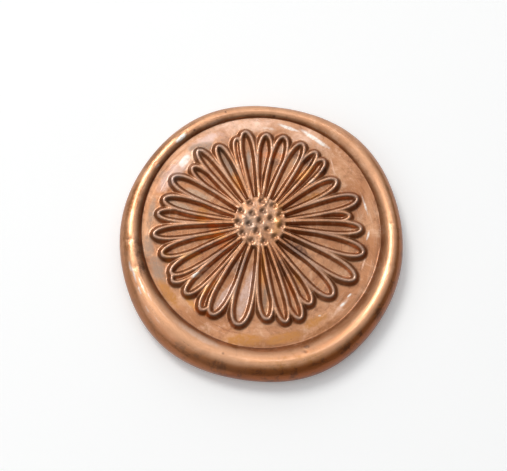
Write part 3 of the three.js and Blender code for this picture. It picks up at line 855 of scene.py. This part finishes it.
# Table, lamps and camera
# A plain white table in a white room. The ceiling is bright at the far left, where a large window lamp is,
# with three small lamps near it, and two wide dim ones stand in for lit walls at the left and the far side.
# The camera is where the photograph was taken from.
TABLE_HALF = 2.0
TABLE_WHITE = (0.96, 0.975, 0.99, 1)
TABLE_GLOW = 0.17
# How far from the seal the table starts to fade into the white round it, and where it has faded
FADE_START, FADE_END = 0.06, 0.5
# The ceiling is bright round one direction, a bearing and an elevation in degrees, and fades to the walls
# between two angles from it
CEILING_TURN, CEILING_RISE = 130, 65
CEILING_INNER, CEILING_OUTER = math.radians(15), math.radians(62)
CEILING_LEVEL, WALL_LEVEL = 0.8, 0.1
LAMP_DISTANCE = 0.5
# Lamps: bearing from +X, elevation and width in degrees, radiance and tint
LAMPS = (
    ("window", 142, 54, 22, 10.0, (1, 0.98, 0.94)),
    ("far lamp", 95, 65, 9, 2.3, (1, 0.98, 0.94)),
    ("far bulb", 92, 68, 3, 4.5, (1, 1, 1)),
    ("left lamp", 182, 66, 6, 2.4, (1, 1, 1)),
    ("left wall", 218, 36, 44, 0.8, (1, 1, 1)),
    ("far wall", 90, 18, 60, 0.6, (1, 0.98, 0.95)),
)
VIEW_ELEVATION = math.radians(73.5)
VIEW_DISTANCE = 210 * MM
VIEW_ROLL = math.radians(12)
# The point of the face's plane that lies in the middle of the picture
VIEW_TARGET = (FACE_CENTRE[0] - 0.693 * MM, FACE_CENTRE[1] - 0.676 * MM, FACE_LEVEL)
# The 25 mm face is 240 of the picture's 507 pixels wide
FACE_PIXELS, PICTURE_PIXELS = 240, 507


def table_material():
    """Matt white, with a glow that the camera and reflections see, so that the table is white and the
    object's shadow stays. Far from the seal it fades into the white background."""
    made, tree, skin = new_material("white table")
    skin.inputs["Base Color"].default_value = TABLE_WHITE
    skin.inputs["Roughness"].default_value = 0.9
    skin.inputs["Specular IOR Level"].default_value = 0.2
    rays = node(tree, "LightPath").outputs
    seen = maths(tree, "MAXIMUM", rays["Is Camera Ray"], rays["Is Glossy Ray"])
    seen = maths(tree, "MAXIMUM", seen, rays["Is Transmission Ray"])
    skin.inputs["Emission Color"].default_value = (1, 1, 1, 1)
    away = vector_maths(tree, "LENGTH", node(tree, "TexCoord").outputs["Object"])["Value"]
    fade = maths(tree, "MULTIPLY", rays["Is Camera Ray"], ramp(tree, away, FADE_START, FADE_END))
    glow = maths(tree, "ADD", maths(tree, "MULTIPLY", seen, TABLE_GLOW), fade)
    tree.links.new(glow, skin.inputs["Emission Strength"])
    return made


def direction(turn, rise):
    """The unit vector at a bearing from +X and an elevation, both in degrees."""
    turn, rise = math.radians(turn), math.radians(rise)
    return (math.cos(rise) * math.cos(turn), math.cos(rise) * math.sin(turn), math.sin(rise))


def lamp(name, turn, rise, width, strength, tint):
    """A round soft lamp that faces the seal, as wide as the given angle and of the given radiance. Its power
    is the radiance times its area times pi."""
    light = bpy.data.lights.new(name, "AREA")
    light.shape = "DISK"
    light.size = 2 * LAMP_DISTANCE * math.tan(math.radians(width / 2))
    light.energy = strength * math.pi * math.pi * (light.size / 2) ** 2
    light.color = tint
    made = bpy.data.objects.new(name, light)
    made.location = [LAMP_DISTANCE * part for part in direction(turn, rise)]
    made.rotation_mode = "QUATERNION"
    made.rotation_quaternion = made.location.to_track_quat("Z", "Y")
    bpy.context.scene.collection.objects.link(made)


table_mesh = bpy.data.meshes.new("table")
corners = [(TABLE_HALF * x, TABLE_HALF * y, 0) for x, y in ((-1, -1), (1, -1), (1, 1), (-1, 1))]
table_mesh.from_pydata(corners, [], [(0, 1, 2, 3)])
table = bpy.data.objects.new("table", table_mesh)
bpy.context.scene.collection.objects.link(table)
table_mesh.materials.append(table_material())

for name, turn, rise, width, strength, tint in LAMPS:
    lamp(name, turn, rise, width, strength, tint)

world = bpy.data.worlds.new("studio")
world.use_nodes = True
sky = world.node_tree
towards_sky = node(sky, "TexCoord").outputs["Generated"]
bright_side = direction(CEILING_TURN, CEILING_RISE)
closeness = vector_maths(sky, "DOT_PRODUCT", towards_sky, bright_side)["Value"]
ceiling = ramp(sky, closeness, math.cos(CEILING_OUTER), math.cos(CEILING_INNER), WALL_LEVEL, CEILING_LEVEL)
# To the camera the room is plain white, while reflections and light have the ceiling's brightness
seen = node(sky, "LightPath").outputs["Is Camera Ray"]
sky.nodes["Background"].inputs["Color"].default_value = (1, 1, 1, 1)
sky.links.new(maths(sky, "MAXIMUM", ceiling, seen), sky.nodes["Background"].inputs["Strength"])
bpy.context.scene.world = world
bpy.context.scene.view_settings.view_transform = "Standard"


def place_camera():
    """The camera looks along +Y and down on the seal. Its up direction is the view's own up, rolled, and its
    lens is as long as shows the face at its share of the picture's width."""
    data = bpy.data.cameras.new("camera")
    data.lens = FACE_PIXELS / PICTURE_PIXELS * data.sensor_width * VIEW_DISTANCE / (2 * FACE_RADIUS)
    data.clip_start = 0.01
    camera = bpy.data.objects.new("camera", data)
    bpy.context.scene.collection.objects.link(camera)
    back = np.array([0, -math.cos(VIEW_ELEVATION), math.sin(VIEW_ELEVATION)])
    level_up = np.array([0, math.sin(VIEW_ELEVATION), math.cos(VIEW_ELEVATION)])
    right = np.array([1, 0, 0]) * math.cos(VIEW_ROLL) + level_up * math.sin(VIEW_ROLL)
    up = level_up * math.cos(VIEW_ROLL) - np.array([1, 0, 0]) * math.sin(VIEW_ROLL)
    place = np.array(VIEW_TARGET) + back * VIEW_DISTANCE
    camera.matrix_world = mathutils.Matrix([*np.stack([right, up, back, place], -1).tolist(), [0, 0, 0, 1]])
    bpy.context.scene.camera = camera


place_camera()
